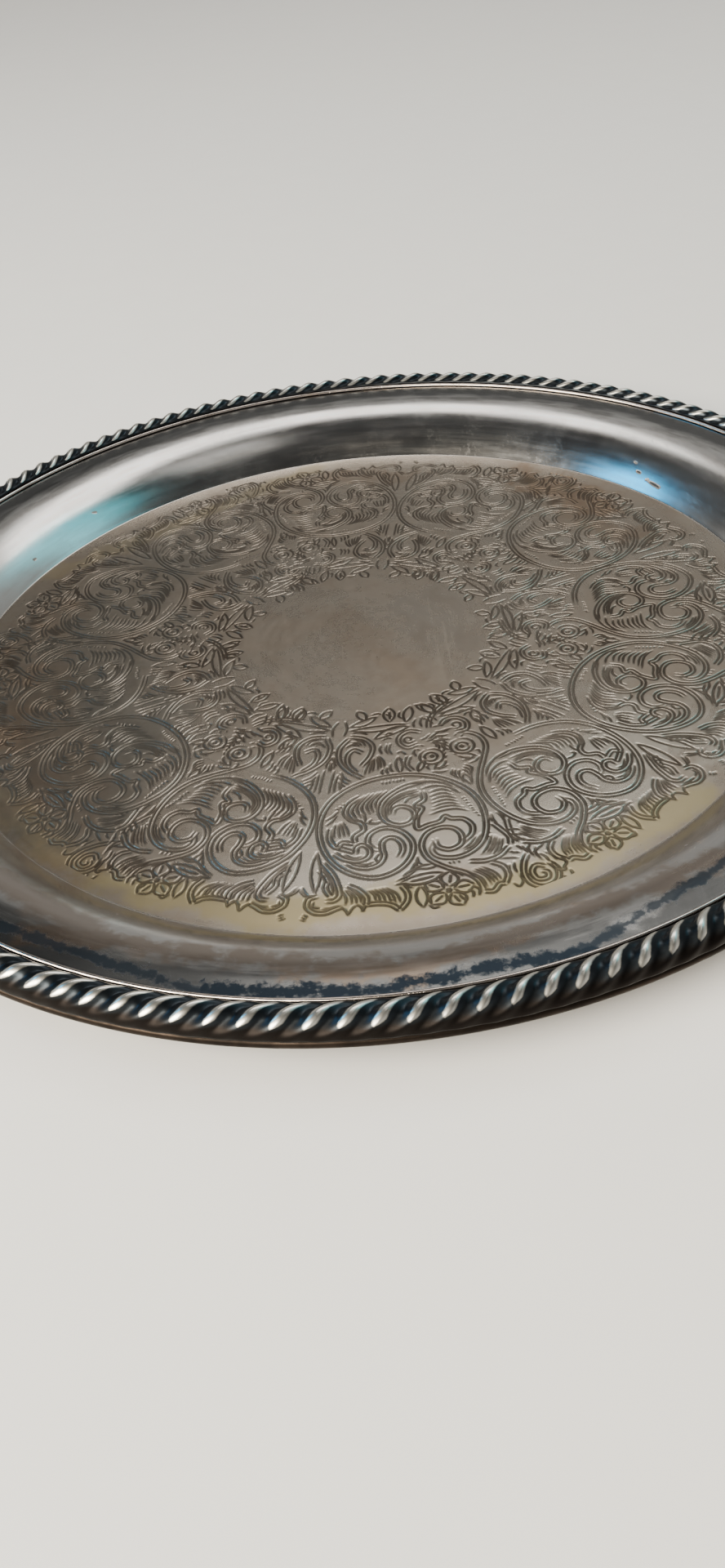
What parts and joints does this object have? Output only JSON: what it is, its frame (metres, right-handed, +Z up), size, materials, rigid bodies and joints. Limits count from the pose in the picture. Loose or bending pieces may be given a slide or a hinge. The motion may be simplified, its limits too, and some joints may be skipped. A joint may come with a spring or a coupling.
{
  "type": "round salver",
  "caption": "Round silver-plated tray with a flat engraved floor, a curved wall and an applied border of slanted gadroon lobes.",
  "frame": {"origin": "middle of the floor's underside, which the tray stands on", "axes": "+Z up along the turning axis; X and Y lie in the plane of the floor, and -Y points to the person holding the tray"},
  "size_m": [0.381, 0.381, 0.0204],
  "materials": {
    "plated_sheet": "tarnished silver plate on spun copper, dull and finely scratched",
    "gadroon_plate": "polished silver plate with dark tarnish in the hollows",
    "bead_plate": "worn bright silver plate",
    "edge_plate": "dark tarnished silver plate",
    "tin_solder": "dull grey soft solder"
  },
  "bodies": {
    "root": {"dish_body": "plated_sheet", "bead_wire": "bead_plate", "gadroon_strip_1": "gadroon_plate", "gadroon_strip_2": "gadroon_plate", "gadroon_strip_3": "gadroon_plate", "gadroon_strip_4": "gadroon_plate", "solder_fill_1": "tin_solder", "solder_fill_2": "tin_solder", "solder_fill_3": "tin_solder", "solder_fill_4": "tin_solder", "edge_wire": "edge_plate"}
  },
  "joints": []
}
